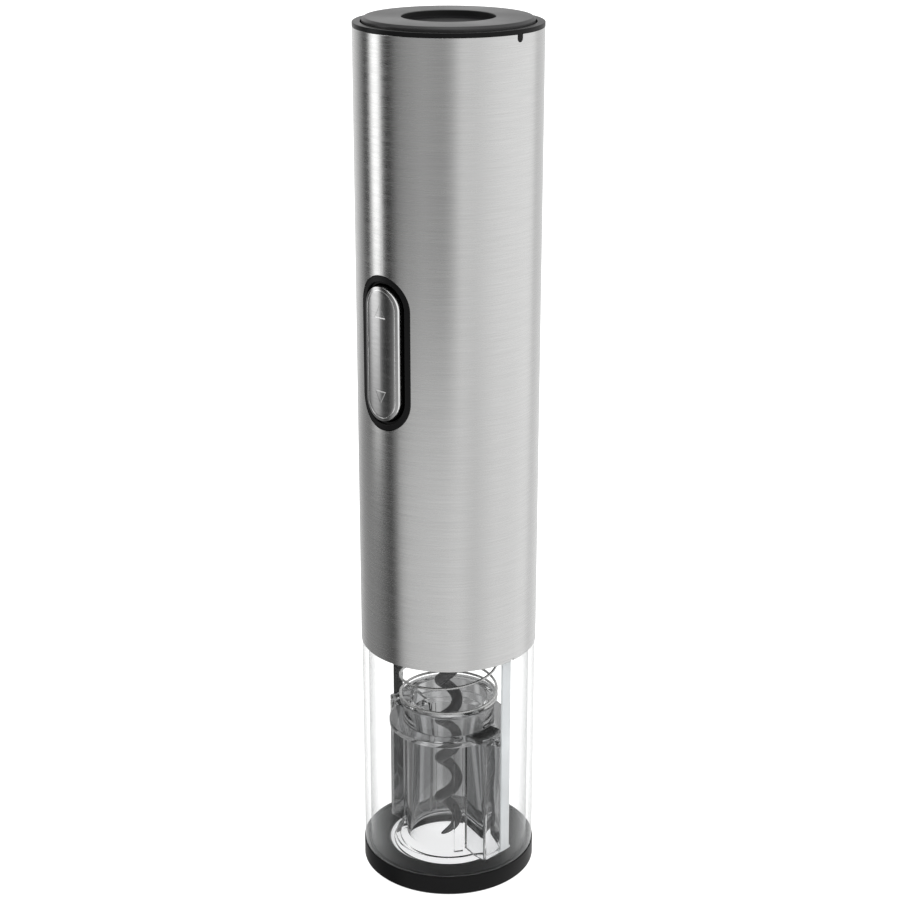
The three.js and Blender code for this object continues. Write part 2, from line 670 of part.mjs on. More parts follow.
// A helix that draws in to its own axis and ends in a straight shank.
class WormCurve extends THREE.Curve {
  getPoint(t, target = new THREE.Vector3()) {
    const z = WORM_TIP + (WORM_TOP - WORM_TIP) * t;
    const fade = THREE.MathUtils.smoothstep(z, 82, 91);
    const radius = WORM_RADIUS * (1 - fade);
    const angle = radians(WORM_LEFT_ANGLE) + 2 * Math.PI * (z - WORM_LEFTMOST) / WORM_PITCH;
    return target.set(radius * Math.cos(angle), radius * Math.sin(angle), z);
  }
}

// The wire comes to a point over its first few millimetres.
function corkscrew() {
  const pointShare = 0.075;
  const radiusAt = (along) => Math.max(0.12, WORM_WIRE * Math.min(1, Math.sqrt(along / pointShare)));
  return bentRod(new WormCurve(), 74, 6, radiusAt);
}

// A compression spring: its end coils lie close, the ones between are evenly spaced.
class SpringCurve extends THREE.Curve {
  getPoint(t, target = new THREE.Vector3()) {
    const endTurns = 1;
    const low = GUIDE_HIGH + SPRING_WIRE + 0.1;
    const high = CHASSIS_LOW - SPRING_WIRE - 0.1;
    const endRise = SPRING_WIRE * 2 + 0.1;
    const openTurns = (high - low - 2 * endRise) / SPRING_PITCH;
    const turns = (2 * endTurns + openTurns) * t;
    let z = low + endRise * Math.min(turns, endTurns);
    z += SPRING_PITCH * THREE.MathUtils.clamp(turns - endTurns, 0, openTurns);
    z += endRise * Math.max(0, turns - endTurns - openTurns);
    const angle = 2 * Math.PI * turns;
    return target.set(SPRING_RADIUS * Math.cos(angle), SPRING_RADIUS * Math.sin(angle), z);
  }
}

function returnSpring() {
  return bentRod(new SpringCurve(), 96, 4, () => SPRING_WIRE);
}

// A clear sleeve with a box-shaped wing on each side, whose tongue holds on to its guide rail.
function corkGuide() {
  const sleeve = turned([
    [GUIDE_BORE, 6.6], [14, 5.6], [14, 4.9], [15.6, 4.2], [15.6, 3.5], [GUIDE_FLANGE_RADIUS, 3.3],
    [GUIDE_FLANGE_RADIUS, 5], [15.6, 5.8], [15.6, 6.4], [GUIDE_OUTER, 7.4],
    [GUIDE_OUTER, GUIDE_FLANGE_LOW], [GUIDE_FLANGE_RADIUS, GUIDE_FLANGE_LOW],
    [GUIDE_FLANGE_RADIUS, GUIDE_FLANGE_HIGH], [GUIDE_COLLAR, GUIDE_FLANGE_HIGH],
    [GUIDE_COLLAR, GUIDE_HIGH - 1.1], [GUIDE_LIP, GUIDE_HIGH - 0.6], [GUIDE_LIP, GUIDE_HIGH],
    [GUIDE_BORE, GUIDE_HIGH],
  ], 28);
  const wings = [-1, 1].flatMap((side) => {
    const outwards = (x0, x1) => (side > 0 ? [x0, x1] : [-x1, -x0]);
    const shelf = block(outwards(13, WING_OUTER), WING_SPAN, [GUIDE_FLANGE_LOW, GUIDE_FLANGE_HIGH]);
    const tongue = block(outwards(19, 22), TONGUE_SPAN, [GUIDE_FLANGE_LOW, GUIDE_FLANGE_HIGH]);
    const plate = block(outwards(WING_OUTER - 1, WING_OUTER), WING_SPAN, [WING_LOW, GUIDE_FLANGE_HIGH]);
    const [front, back] = WING_SPAN;
    const fins = [[front, front + FIN_THICK], [back - FIN_THICK, back]].map((span) =>
      block(outwards(FIN_NEAR, WING_OUTER), span, [WING_LOW, GUIDE_FLANGE_LOW + 0.2]));
    return [shelf, tongue, plate, ...fins];
  });
  const ribs = [-33, 33, 147, 213].map((angle) =>
    arcBlock([angle - 5.5, angle + 5.5], [GUIDE_OUTER - 0.4, RIB_OUTER], [6, GUIDE_FLANGE_LOW + 0.2], 0, 1));
  const railNotches = [-1, 1].map((side) => {
    const along = side > 0 ? [21.2, 24] : [-24, -21.2];
    return block(along, [RAIL_MIDDLE - 2.1, RAIL_MIDDLE + 2.1], [40, 52]);
  });
  return cut(join(sleeve, ...wings, ...ribs), ...railNotches);
}

// ---- wiring -------------------------------------------------------------------------------

const WIRE_RADIUS = 0.55;

function wire(points) {
  const curve = new THREE.CatmullRomCurve3(points.map(([x, y, z]) => new THREE.Vector3(x, y, z)));
  return bentRod(curve, 8, 4, () => WIRE_RADIUS);
}

function motorWire(side) {
  return wire([[side * 7, -1, 172.6], [side * 7, -4, 175], [side * 5.6, -10, 175.2],
    [side * 3, -14.3, 171.5]]);
}

function batteryWire(side) {
  return wire([[side * 7.8, -10.5, 179.8], [side * 7.8, -10.8, 177.5], [side * 6.6, -13.6, 177.6],
    [side * 4.8, -14.3, 179.5]]);
}

// ---- the assembly -------------------------------------------------------------------------

const assembly = new THREE.Group();
assembly.name = 'electric_wine_opener';

function add(name, geometry, finish, parent = assembly) {
  const mesh = new THREE.Mesh(geometry, MATERIALS[finish]);
  mesh.name = name;
  parent.add(mesh);
  return mesh;
}

add('steel_shell', steelShell(), 'steel');
add('top_collar', topCollar(), 'blackPlastic');
add('clear_sleeve', clearSleeve(), 'clearSleeve');
add('base_ring', baseRing(), 'blackPlastic');

add('battery_cover', batteryCover(), 'capPlastic');
add('contact_disc', contactDisc(), 'innerPlastic');
add('cover_screw', coverScrew(), 'zinc');
add('cover_contact_right', coverContact(1), 'nickel');
add('cover_contact_left', coverContact(-1), 'nickel');
CELL_PLACES.forEach(({ x, y, nubUp }, number) => {
  add(`battery_${number + 1}`, cell(nubUp), 'cellJacket').position.set(x, y, 0);
});
add('battery_tray', batteryTray(), 'innerPlastic');
add('tray_link_contact', trayLinkContact(), 'nickel');
add('tray_terminal_right', trayTerminal(1), 'nickel');
add('tray_terminal_left', trayTerminal(-1), 'nickel');

add('chassis_front', chassisHalf(-1), 'innerPlastic');
add('chassis_rear', chassisHalf(1), 'innerPlastic');
for (const [name, side] of [['left', -1], ['right', 1]]) {
  const screw = add(`chassis_screw_${name}`, chassisScrew(), 'zinc');
  screw.position.set(side * CHASSIS_SCREW_X, 0, CHASSIS_SCREW_Z);
  screw.rotation.x = -Math.PI / 2;
}
add('guide_rail_left', guideRail(-1), 'blackPlastic');
add('guide_rail_right', guideRail(1), 'greyPlastic');

add('switch_bezel', switchBezel(), 'blackPlastic');
add('rocker_button', rockerButton(), 'brightSteel');
add('rocker_pin', rockerPin(), 'zinc');
add('switch_board', switchBoard(), 'circuitBoard');
add('tact_switch_up', tactSwitch(1), 'innerPlastic');
add('tact_switch_down', tactSwitch(-1), 'innerPlastic');
add('switch_stem_up', switchStem(1), 'whitePlastic');
add('switch_stem_down', switchStem(-1), 'whitePlastic');

add('motor_can', motorCan(), 'zinc');
add('motor_end_cap', motorEndCap(), 'whitePlastic');
add('motor_magnet_right', motorMagnet(0), 'magnet');
add('motor_magnet_left', motorMagnet(180), 'magnet');
add('motor_armature', motorArmature(), 'copper');
add('motor_shaft', motorShaft(), 'brightSteel');
add('sun_gear', gear(SUN_TEETH, SHAFT_RADIUS + SHAFT_GAP, SHAFT_LOW, 137), 'brass');

add('gearbox_housing', gearboxHousing(), 'sintered');
add('gearbox_top_plate', gearboxTopPlate(), 'zinc');
add('output_bush', outputBush(), 'brass');
add('stage_1_carrier', stage1Carrier(), 'sintered');
add('output_carrier', outputCarrier(), 'sintered');
for (const [stage, span] of [[1, STAGE_1], [2, STAGE_2]]) {
  PLANET_ANGLES.forEach((angle, number) => {
    const arm = new THREE.Group();
    arm.rotation.z = radians(angle);
    assembly.add(arm);
    add(`stage_${stage}_planet_${number + 1}`, planet(span), 'whitePlastic', arm).position.x = PLANET_ORBIT;
  });
}
add('motor_screw_right', motorScrew(), 'zinc').position.x = MOTOR_SCREW_X;
add('motor_screw_left', motorScrew(), 'zinc').position.x = -MOTOR_SCREW_X;

add('worm_chuck', wormChuck(), 'zinc');
add('chuck_pin', chuckPin(), 'brightSteel');
add('corkscrew', corkscrew(), 'wormCoating');
add('cork_guide', corkGuide(), 'clearGuide');
add('return_spring', returnSpring(), 'springSteel');

add('motor_wire_red', motorWire(1), 'redWire');
add('motor_wire_black', motorWire(-1), 'blackWire');
add('battery_wire_red', batteryWire(1), 'redWire');
add('battery_wire_black', batteryWire(-1), 'blackWire');

export default assembly;
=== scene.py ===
import json
import math

import bmesh
import bpy
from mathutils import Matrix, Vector


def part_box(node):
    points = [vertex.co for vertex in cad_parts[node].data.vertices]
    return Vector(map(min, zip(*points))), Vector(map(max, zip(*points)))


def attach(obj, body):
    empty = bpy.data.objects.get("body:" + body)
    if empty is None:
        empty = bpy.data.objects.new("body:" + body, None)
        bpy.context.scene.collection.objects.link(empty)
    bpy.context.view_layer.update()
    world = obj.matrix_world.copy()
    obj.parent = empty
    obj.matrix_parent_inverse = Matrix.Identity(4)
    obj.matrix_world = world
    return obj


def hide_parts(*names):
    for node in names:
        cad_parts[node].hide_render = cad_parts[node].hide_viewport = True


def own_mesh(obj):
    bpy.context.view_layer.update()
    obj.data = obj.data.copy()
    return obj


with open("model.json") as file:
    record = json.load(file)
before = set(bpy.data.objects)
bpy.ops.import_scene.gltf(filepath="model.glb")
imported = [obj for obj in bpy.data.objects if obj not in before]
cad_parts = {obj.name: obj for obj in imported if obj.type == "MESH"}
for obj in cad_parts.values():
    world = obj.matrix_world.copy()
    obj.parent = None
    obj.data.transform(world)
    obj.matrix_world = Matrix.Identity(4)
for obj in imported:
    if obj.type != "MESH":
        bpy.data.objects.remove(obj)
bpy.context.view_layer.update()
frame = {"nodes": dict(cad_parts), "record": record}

# The looks of the electric wine opener. Lengths are in millimetres until a mesh is made, then metres.
# +Z is up, the origin is the centre of the flat underside, and the rocker faces -Y.
MM = 0.001


def level(node, corner, axis):
    """One side of a CAD node's box, in millimetres."""
    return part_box(node)[corner][axis] / MM


BODY_RADIUS = level("steel_shell", 1, 0)
SHELL_LOW = level("steel_shell", 0, 2)
SHELL_HIGH = level("steel_shell", 1, 2)
RIM_HIGH = level("top_collar", 1, 2)
COVER_HIGH = level("battery_cover", 1, 2)
COVER_RADIUS = level("battery_cover", 1, 0)
BASE_HIGH = level("base_ring", 1, 2)
SLEEVE_RADIUS = level("clear_sleeve", 1, 0)
SPIGOT_HIGH = level("clear_sleeve", 1, 2)
GUIDE_HIGH = level("cork_guide", 1, 2)
GUIDE_LOW = level("cork_guide", 0, 2)
SPRING_HIGH = level("return_spring", 1, 2)
WORM_TIP = level("corkscrew", 0, 2)
WORM_TOP = level("corkscrew", 1, 2)
ROCKER_LOW = level("rocker_button", 0, 2)
ROCKER_HIGH = level("rocker_button", 1, 2)
ROCKER_CROWN = -level("rocker_button", 0, 1)
ROCKER_HALF_WIDTH = level("rocker_button", 1, 0)
ROCKER_HALF_LENGTH = (ROCKER_HIGH - ROCKER_LOW) / 2
ROCKER_MIDDLE = (ROCKER_HIGH + ROCKER_LOW) / 2

# ---- making meshes ----------------------------------------------------------------------------


def new_piece(name, vertices, faces, sharp=32):
    """A mesh object from millimetre points. Edges sharper than the given angle stay crisp."""
    mesh = bpy.data.meshes.new(name)
    mesh.from_pydata([Vector(v) * MM for v in vertices], [], faces)
    mesh.update()
    piece = bpy.data.objects.new(name, mesh)
    bpy.context.scene.collection.objects.link(piece)
    tidy(piece, sharp)
    return piece


def tidy(piece, sharp=32):
    """Merged vertices, outward faces and smooth shading."""
    work = bmesh.new()
    work.from_mesh(piece.data)
    bmesh.ops.remove_doubles(work, verts=work.verts, dist=1e-7)
    bmesh.ops.recalc_face_normals(work, faces=work.faces)
    work.to_mesh(piece.data)
    work.free()
    for polygon in piece.data.polygons:
        polygon.use_smooth = True
    piece.data.set_sharp_from_angle(angle=math.radians(sharp))


def rounded(corners, steps=4):
    """A closed outline whose corners may be (r, z, fillet radius)."""
    points = []
    count = len(corners)
    for i, corner in enumerate(corners):
        here = Vector(corner[:2])
        if len(corner) < 3:
            points.append(here)
            continue
        before = (Vector(corners[i - 1][:2]) - here).normalized()
        after = (Vector(corners[(i + 1) % count][:2]) - here).normalized()
        half = before.angle(after) / 2
        reach = corner[2] / math.tan(half)
        centre = here + (before + after).normalized() * corner[2] / math.sin(half)
        start = here + before * reach - centre
        end = here + after * reach - centre
        for step in range(steps + 1):
            spoke = start.lerp(end, step / steps).normalized() * corner[2]
            points.append(centre + spoke)
    return points


def turned(name, corners, sides=160, steps=4, sharp=32):
    """A part turned about Z from a closed outline. Points on the axis become poles."""
    outline = rounded(corners, steps)
    vertices = []
    columns = []
    for side in range(sides):
        angle = 2 * math.pi * side / sides
        column = []
        for i, (radius, height) in enumerate(outline):
            if radius < 1e-6 and side > 0:
                column.append(columns[0][i])
                continue
            column.append(len(vertices))
            vertices.append((radius * math.cos(angle), radius * math.sin(angle), height))
        columns.append(column)
    faces = []
    for side in range(sides):
        here, there = columns[side], columns[(side + 1) % sides]
        for i in range(len(outline)):
            j = (i + 1) % len(outline)
            corner_loop = [here[i], there[i], there[j], here[j]]
            face = list(dict.fromkeys(corner_loop))
            if len(face) > 2:
                faces.append(face)
    return new_piece(name, vertices, faces, sharp)


ARC_STEPS = 48
LINE_STEPS = 24
STADIUM_STEPS = 2 * (ARC_STEPS + LINE_STEPS)


def stadium_outline(half_width, half_length):
    """Points round a stadium, the same number on each arc and on each straight side."""
    straight = half_length - half_width
    points = []
    for side in (1, -1):
        for i in range(ARC_STEPS):
            angle = math.pi * i / ARC_STEPS
            x = half_width * math.cos(angle)
            points.append((side * x, side * (straight + half_width * math.sin(angle))))
        for i in range(LINE_STEPS):
            points.append((-side * half_width, side * straight * (1 - 2 * i / LINE_STEPS)))
    return points


def stadium_loft(name, loops, closed, sharp=32):
    """Stadium loops (half width, half length, radius of the cylinder about Z that each lies on).
    A closed loft is a ring. An open one is capped at both ends."""
    count = STADIUM_STEPS
    vertices = []
    for half_width, half_length, radius in loops:
        for x, z in stadium_outline(half_width, half_length):
            vertices.append((x, -math.sqrt(radius * radius - x * x), ROCKER_MIDDLE + z))
    faces = []
    spans = len(loops) if closed else len(loops) - 1
    for span in range(spans):
        low = span * count
        high = ((span + 1) % len(loops)) * count
        for i in range(count):
            j = (i + 1) % count
            faces.append((low + i, low + j, high + j, high + i))
    ends = [] if closed else [0, (len(loops) - 1) * count]
    for first in ends:
        pole = ARC_STEPS // 2
        for k in range(count // 2):
            left = [first + (pole + k + step) % count for step in (0, 1)]
            right = [first + (pole - k - step) % count for step in (1, 0)]
            faces.append(list(dict.fromkeys(left + right)))
    return new_piece(name, vertices, faces, sharp)


def box_piece(name, x, y, z, bevel=0.0):
    """A block between pairs of limits, with rounded edges."""
    work = bmesh.new()
    bmesh.ops.create_cube(work, size=1)
    for vertex in work.verts:
        vertex.co.x = x[0] + (x[1] - x[0]) * (vertex.co.x + 0.5)
        vertex.co.y = y[0] + (y[1] - y[0]) * (vertex.co.y + 0.5)
        vertex.co.z = z[0] + (z[1] - z[0]) * (vertex.co.z + 0.5)
    if bevel:
        edges = work.edges[:]
        bmesh.ops.bevel(work, geom=edges, offset=bevel, segments=2, profile=0.5, affect="EDGES")
    vertices = [tuple(v.co) for v in work.verts]
    faces = [[v.index for v in f.verts] for f in work.faces]
    work.free()
    return new_piece(name, vertices, faces)


def arc_block(name, angles, radii, heights, climb=0.0, steps=24):
    """A block bent round Z that may climb evenly from its first angle to its last."""
    vertices = []
    for i in range(steps + 1):
        share = i / steps
        angle = math.radians(angles[0] + (angles[1] - angles[0]) * share)
        for radius, height in ((0, 0), (1, 0), (1, 1), (0, 1)):
            out = radii[radius]
            up = heights[height] + climb * share
            vertices.append((out * math.cos(angle), out * math.sin(angle), up))
    faces = [(3, 2, 1, 0), tuple(4 * steps + k for k in range(4))]
    for i in range(steps):
        for k in range(4):
            a, b = 4 * i + k, 4 * i + (k + 1) % 4
            faces.append((a, b, b + 4, a + 4))
    return new_piece(name, vertices, faces)


def swept(name, centres, radii, sides=14, sharp=40):
    """A round bar along a line of points, with a radius at each. Its section never twists."""
    centres = [Vector(c) for c in centres]
    last = len(centres) - 1
    vertices = []
    side_way = None
    for i, centre in enumerate(centres):
        tangent = (centres[min(i + 1, last)] - centres[max(i - 1, 0)]).normalized()
        if side_way is None:
            side_way = tangent.orthogonal()
        side_way = (side_way - tangent * side_way.dot(tangent)).normalized()
        other_way = tangent.cross(side_way)
        for k in range(sides):
            angle = 2 * math.pi * k / sides
            spoke = side_way * math.cos(angle) + other_way * math.sin(angle)
            vertices.append(centre + spoke * radii[i])
    faces = [tuple(range(sides)), tuple(last * sides + k for k in range(sides))]
    for i in range(last):
        for k in range(sides):
            a, b = i * sides + k, i * sides + (k + 1) % sides
            faces.append((a, b, b + sides, a + sides))
    return new_piece(name, vertices, faces, sharp)


def rod_along_x(name, radius, limits, at):
    """A round rod along X between two limits, at the given Y and Z."""
    return swept(name, [(limit, *at) for limit in limits], [radius, radius], 48)


def combine(piece, tools, operation, sharp=32):
    """Joins the tools to the piece or cuts them from it, and removes the tools."""
    for tool in tools:
        modifier = piece.modifiers.new("combine", "BOOLEAN")
        modifier.operation = operation
        modifier.solver = "EXACT"
        modifier.object = tool
    graph = bpy.context.evaluated_depsgraph_get()
    mesh = bpy.data.meshes.new_from_object(piece.evaluated_get(graph))
    piece.modifiers.clear()
    piece.data = mesh
    for tool in tools:
        bpy.data.objects.remove(tool)
    tidy(piece, sharp)
    return piece


def place(piece, body, slot, material, *nodes):
    """Gives a piece its material and its body, and hides the CAD nodes that it stands for. The slot is
    not used.
    """
    piece.data.materials.clear()
    piece.data.materials.append(material)
    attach(piece, body)
    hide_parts(*nodes)
    return piece


def repaint(piece, material, is_inside):
    """Gives a second material to the faces whose middle, in millimetres, passes the test."""
    piece.data.materials.append(material)
    for polygon in piece.data.polygons:
        if is_inside(*(polygon.center / MM)):
            polygon.material_index = 1


# ---- materials --------------------------------------------------------------------------------


class Shader:
    """A Principled material and short ways to wire procedural detail into it."""

    def __init__(self, name, color, roughness, metallic=0.0, **sockets):
        self.material = bpy.data.materials.new(name)
        self.material.use_nodes = True
        self.tree = self.material.node_tree
        self.bsdf = self.tree.nodes["Principled BSDF"]
        self.color = color
        self.roughness = roughness
        self.set("Base Color", (*color, 1))
        self.set("Roughness", roughness)
        self.set("Metallic", metallic)
        for socket, value in sockets.items():
            self.set(socket.replace("_", " ").title().replace("Ior", "IOR"), value)

    def set(self, socket, value):
        self.bsdf.inputs[socket].default_value = value

    def node(self, kind, **settings):
        made = self.tree.nodes.new(kind)
        for key, value in settings.items():
            setattr(made, key, value)
        return made

    def link(self, output, target):
        self.tree.links.new(output, target)

    def stretched(self, scale):
        """Object coordinates, stretched."""
        coordinates = self.node("ShaderNodeTexCoord")
        mapping = self.node("ShaderNodeMapping")
        mapping.inputs["Scale"].default_value = scale
        self.link(coordinates.outputs["Object"], mapping.inputs["Vector"])
        return mapping.outputs["Vector"]

    def noise(self, scale, detail=3.0, size=1.0):
        texture = self.node("ShaderNodeTexNoise")
        texture.inputs["Scale"].default_value = size
        texture.inputs["Detail"].default_value = detail
        self.link(self.stretched(scale), texture.inputs["Vector"])
        return texture.outputs["Fac"]

    def spread(self, value, low, high, start=0.3, stop=0.7):
        """Maps a noise value to a range of numbers."""
        remap = self.node("ShaderNodeMapRange")
        remap.inputs["From Min"].default_value = start
        remap.inputs["From Max"].default_value = stop
        remap.inputs["To Min"].default_value = low
        remap.inputs["To Max"].default_value = high
        self.link(value, remap.inputs["Value"])
        return remap.outputs["Result"]

    def vary_color(self, value, amount):
        """Lightens and darkens the base colour by a share."""
        mix = self.node("ShaderNodeMix", data_type="RGBA", blend_type="MULTIPLY")
        mix.inputs["Factor"].default_value = 1.0
        mix.inputs["A"].default_value = (*self.color, 1)
        self.link(self.spread(value, 1 - amount, 1 + amount), mix.inputs["B"])
        self.link(mix.outputs["Result"], self.bsdf.inputs["Base Color"])

    def vary_roughness(self, value, amount):
        low, high = self.roughness - amount, self.roughness + amount
        self.link(self.spread(value, low, high), self.bsdf.inputs["Roughness"])

    def bump(self, value, distance, strength=1.0):
        bump = self.node("ShaderNodeBump")
        bump.inputs["Strength"].default_value = strength
        bump.inputs["Distance"].default_value = distance
        self.link(value, bump.inputs["Height"])
        self.link(bump.outputs["Normal"], self.bsdf.inputs["Normal"])


def brushed(name, color, roughness, lines, bump, anisotropic=0.0):
    """Metal brushed round the body: long fine lines across Z."""
    shader = Shader(name, color, roughness, 1.0, anisotropic=anisotropic)
    if anisotropic:
        tangent = shader.node("ShaderNodeTangent", direction_type="RADIAL", axis="Z")
        shader.link(tangent.outputs["Tangent"], shader.bsdf.inputs["Tangent"])
        shader.set("Anisotropic Rotation", 0.25)
    fine = shader.noise((lines[0], lines[0], lines[1]), 4.0)
    broad = shader.noise((lines[0] * 0.3, lines[0] * 0.3, lines[1] * 0.25), 2.0)
    shader.vary_color(fine, 0.05)
    shader.vary_roughness(broad, 0.03)
    strokes = shader.noise((240, 240, 3000), 2.0)
    both = shader.node("ShaderNodeMath", operation="MULTIPLY_ADD")
    both.inputs[1].default_value = 0.5
    shader.link(strokes, both.inputs[0])
    shader.link(fine, both.inputs[2])
    shader.bump(both.outputs[0], bump)
    return shader.material


def plastic(name, color, roughness, grain=2500.0, bump=0.00001, specular=0.4):
    """Moulded plastic with a fine grain and slow changes of gloss."""
    shader = Shader(name, color, roughness, specular_ior_level=specular)
    shader.bump(shader.noise((grain, grain, grain), 2.0), bump)
    slow = shader.noise((60, 60, 60), 3.0)
    shader.vary_color(slow, 0.08)
    shader.vary_roughness(slow, 0.05)
    return shader.material


def metal(name, color, roughness, grain=900.0, bump=0.000008):
    """Plated or turned metal with faint marks."""
    shader = Shader(name, color, roughness, 1.0)
    marks = shader.noise((grain * 0.4, grain * 0.4, grain), 4.0)
    shader.vary_color(marks, 0.08)
    shader.vary_roughness(marks, 0.07)
    shader.bump(marks, bump)
    return shader.material


def clear_plastic(name, color, roughness, ior=1.49):
    """Clear moulded plastic with a faint ripple."""
    shader = Shader(name, color, roughness, transmission_weight=1.0, ior=ior)
    shader.bump(shader.noise((90, 90, 25), 1.0), 0.00003, 0.4)
    return shader.material


def thin_clear(name, face_share, edge_share):
    """A thin clear wall: see-through face on, glossy and whitish towards its edges."""
    shader = Shader(name, (0.50, 0.51, 0.51), 0.03, ior=1.49)
    facing = shader.node("ShaderNodeLayerWeight")
    grazing = shader.node("ShaderNodeMath", operation="POWER")
    grazing.inputs[1].default_value = 3.4
    shader.link(facing.outputs["Facing"], grazing.inputs[0])
    ripple = shader.spread(shader.noise((40, 40, 12), 2.0), 0.94, 1.06)
    share = shader.node("ShaderNodeMapRange")
    share.inputs["From Min"].default_value = 0.0
    share.inputs["From Max"].default_value = 1.0
    share.inputs["To Min"].default_value = face_share
    share.inputs["To Max"].default_value = edge_share
    shader.link(grazing.outputs[0], share.inputs["Value"])
    product = shader.node("ShaderNodeMath", operation="MULTIPLY", use_clamp=True)
    shader.link(share.outputs["Result"], product.inputs[0])
    shader.link(ripple, product.inputs[1])
    shader.link(product.outputs[0], shader.bsdf.inputs["Alpha"])
    return shader.material


STEEL = brushed("brushed_steel", (0.66, 0.66, 0.655), 0.27, (90, 4200), 0.000007, 0.75)
ROCKER_STEEL = brushed("rocker_steel", (0.50, 0.50, 0.50), 0.17, (260, 3000), 0.000003)
# Near-white metal on the rocker's edge, groove and arrow lines: a painted highlight.
ROCKER_EDGE = brushed("rocker_painted_highlight_lines", (0.95, 0.95, 0.95), 0.16, (500, 500), 0.0000005)
CAP_PLASTIC = plastic("cap_plastic", (0.016, 0.016, 0.0165), 0.38, 3500, 0.000012, 0.55)
# The cover's well: a darker colour as painted shade in the recess, with lower gloss too.
CAP_WELL_PAINTED_SHADE_PLASTIC = plastic("cap_well_painted_shade_plastic", (0.009, 0.009, 0.0093), 0.5, 3500, 0.00001, 0.08)
BLACK_PLASTIC = plastic("black_plastic", (0.0045, 0.0045, 0.0047), 0.34, 3000, 0.00001, 0.12)
INNER_PLASTIC = plastic("inner_plastic", (0.022, 0.022, 0.024), 0.5)
GREY_PLASTIC = plastic("grey_plastic", (0.52, 0.54, 0.55), 0.42, 2000, 0.00001, 0.4)
WHITE_PLASTIC = plastic("white_plastic", (0.75, 0.74, 0.70), 0.45)
CLEAR_SLEEVE = thin_clear("clear_sleeve_plastic", 0.014, 0.85)
CLEAR_GUIDE = clear_plastic("clear_guide_plastic", (0.93, 0.935, 0.94), 0.01)
WORM_COATING = plastic("worm_coating", (0.045, 0.045, 0.046), 0.42, 1200, 0.000006, 0.25)
SPRING_STEEL = metal("spring_steel", (0.55, 0.55, 0.545), 0.25, 1500, 0.000004)
ZINC = metal("zinc", (0.45, 0.46, 0.47), 0.36)
NICKEL = metal("nickel", (0.66, 0.63, 0.57), 0.25)
SINTERED = metal("sintered_steel", (0.15, 0.15, 0.152), 0.55, 3000, 0.00002)
BRASS = metal("brass", (0.55, 0.36, 0.12), 0.3)
COPPER = metal("copper_windings", (0.42, 0.15, 0.06), 0.38, 2400, 0.00003)
MAGNET = metal("magnet", (0.05, 0.046, 0.042), 0.6, 2600, 0.00002)
CIRCUIT_BOARD = plastic("circuit_board_green", (0.02, 0.10, 0.035), 0.35)
CELL_JACKET = plastic("cell_jacket", (0.05, 0.06, 0.07), 0.28, 400, 0.000004)
RED_WIRE = plastic("red_wire_insulation", (0.35, 0.02, 0.015), 0.4)
BLACK_WIRE = plastic("black_wire_insulation", (0.015, 0.015, 0.015), 0.4)

CAD_FINISHES = {
    "inner_plastic": INNER_PLASTIC,
    "zinc": ZINC,
    "nickel": NICKEL,
    "cell_jacket": CELL_JACKET,
    "bright_steel": SPRING_STEEL,
    "circuit_board": CIRCUIT_BOARD,
    "white_plastic": WHITE_PLASTIC,
    "magnet": MAGNET,
    "copper": COPPER,
    "brass": BRASS,
    "sintered": SINTERED,
    "red_wire": RED_WIRE,
    "black_wire": BLACK_WIRE,
    "black_plastic": BLACK_PLASTIC,
    "grey_plastic": GREY_PLASTIC,
}


def finish_cad_nodes():
    """Every carried-over CAD node takes the procedural material of its slot."""
    for row in frame["record"]["subparts"]:
        material = CAD_FINISHES.get(row["material_slot"])
        if material is None:
            continue
        mesh = frame["nodes"][row["node"]].data
        mesh.materials.clear()
        mesh.materials.append(material)


# ---- the outside ------------------------------------------------------------------------------

SHELL_WALL = 0.8
SHELL_EDGE = 0.15
WINDOW_GAP = 0.12
KEYWAY_LOW = 242.6
KEYWAY_HALF_WIDTH = 1.0
NOTCH_HALF_WIDTH = 0.5
NOTCH_DEPTH = 0.5
COLLAR_INNER = 22.9
COLLAR_FLOOR = 242
RIM_LOW = 243.7
KEY_LOW = 242.5
KEY_HALF_WIDTH = 0.8
LUG_ANGLES = (90, 210, 330)
# Millimetres of lift for each degree that the cover turns.
LUG_SLOPE = 3 / 60
LUG_REACH = 7
SLOT_BACK = 8
SLOT_AHEAD = 68
MOUTH_SPAN = 16
COVER_LOW = 242.2
COVER_WELL_RADIUS = 12.3
COVER_WELL_DEPTH = 1.8
SLEEVE_INNER = 23
SLEEVE_SPIGOT = 24
BEZEL_HALF_WIDTH = 8.75
BEZEL_HALF_LENGTH = 21.15
BEZEL_LOW = 20.5
BEZEL_STEP = 0.55
BEZEL_INNER_HALF_WIDTH = ROCKER_HALF_WIDTH + 0.5
BEZEL_INNER_HALF_LENGTH = ROCKER_HALF_LENGTH + 0.5


def steel_shell():
    inner = BODY_RADIUS - SHELL_WALL
    through = (23, 27)
    shell = turned("shell_of_brushed_steel", [
        (inner, SHELL_LOW), (BODY_RADIUS, SHELL_LOW, SHELL_EDGE),
        (BODY_RADIUS, SHELL_HIGH, SHELL_EDGE), (inner, SHELL_HIGH),
    ], 240)
    half_width, half_length = BEZEL_HALF_WIDTH + WINDOW_GAP, BEZEL_HALF_LENGTH + WINDOW_GAP
    window = stadium_loft(
        "window", [(half_width, half_length, 20), (half_width, half_length, 30)], False)
    keyway_width = (-KEYWAY_HALF_WIDTH, KEYWAY_HALF_WIDTH)
    keyway = box_piece("keyway", through, keyway_width, (KEYWAY_LOW, SHELL_HIGH + 2))
    keyway_round = rod_along_x("keyway_round", KEYWAY_HALF_WIDTH, through, (0, KEYWAY_LOW))
    notch_width = (-NOTCH_HALF_WIDTH, NOTCH_HALF_WIDTH)
    notch = box_piece("notch", through, notch_width, (SHELL_LOW - 2, SHELL_LOW + NOTCH_DEPTH))
    combine(shell, [window, keyway, keyway_round, notch], "DIFFERENCE")
    return place(shell, "housing", "steel", STEEL, "steel_shell")


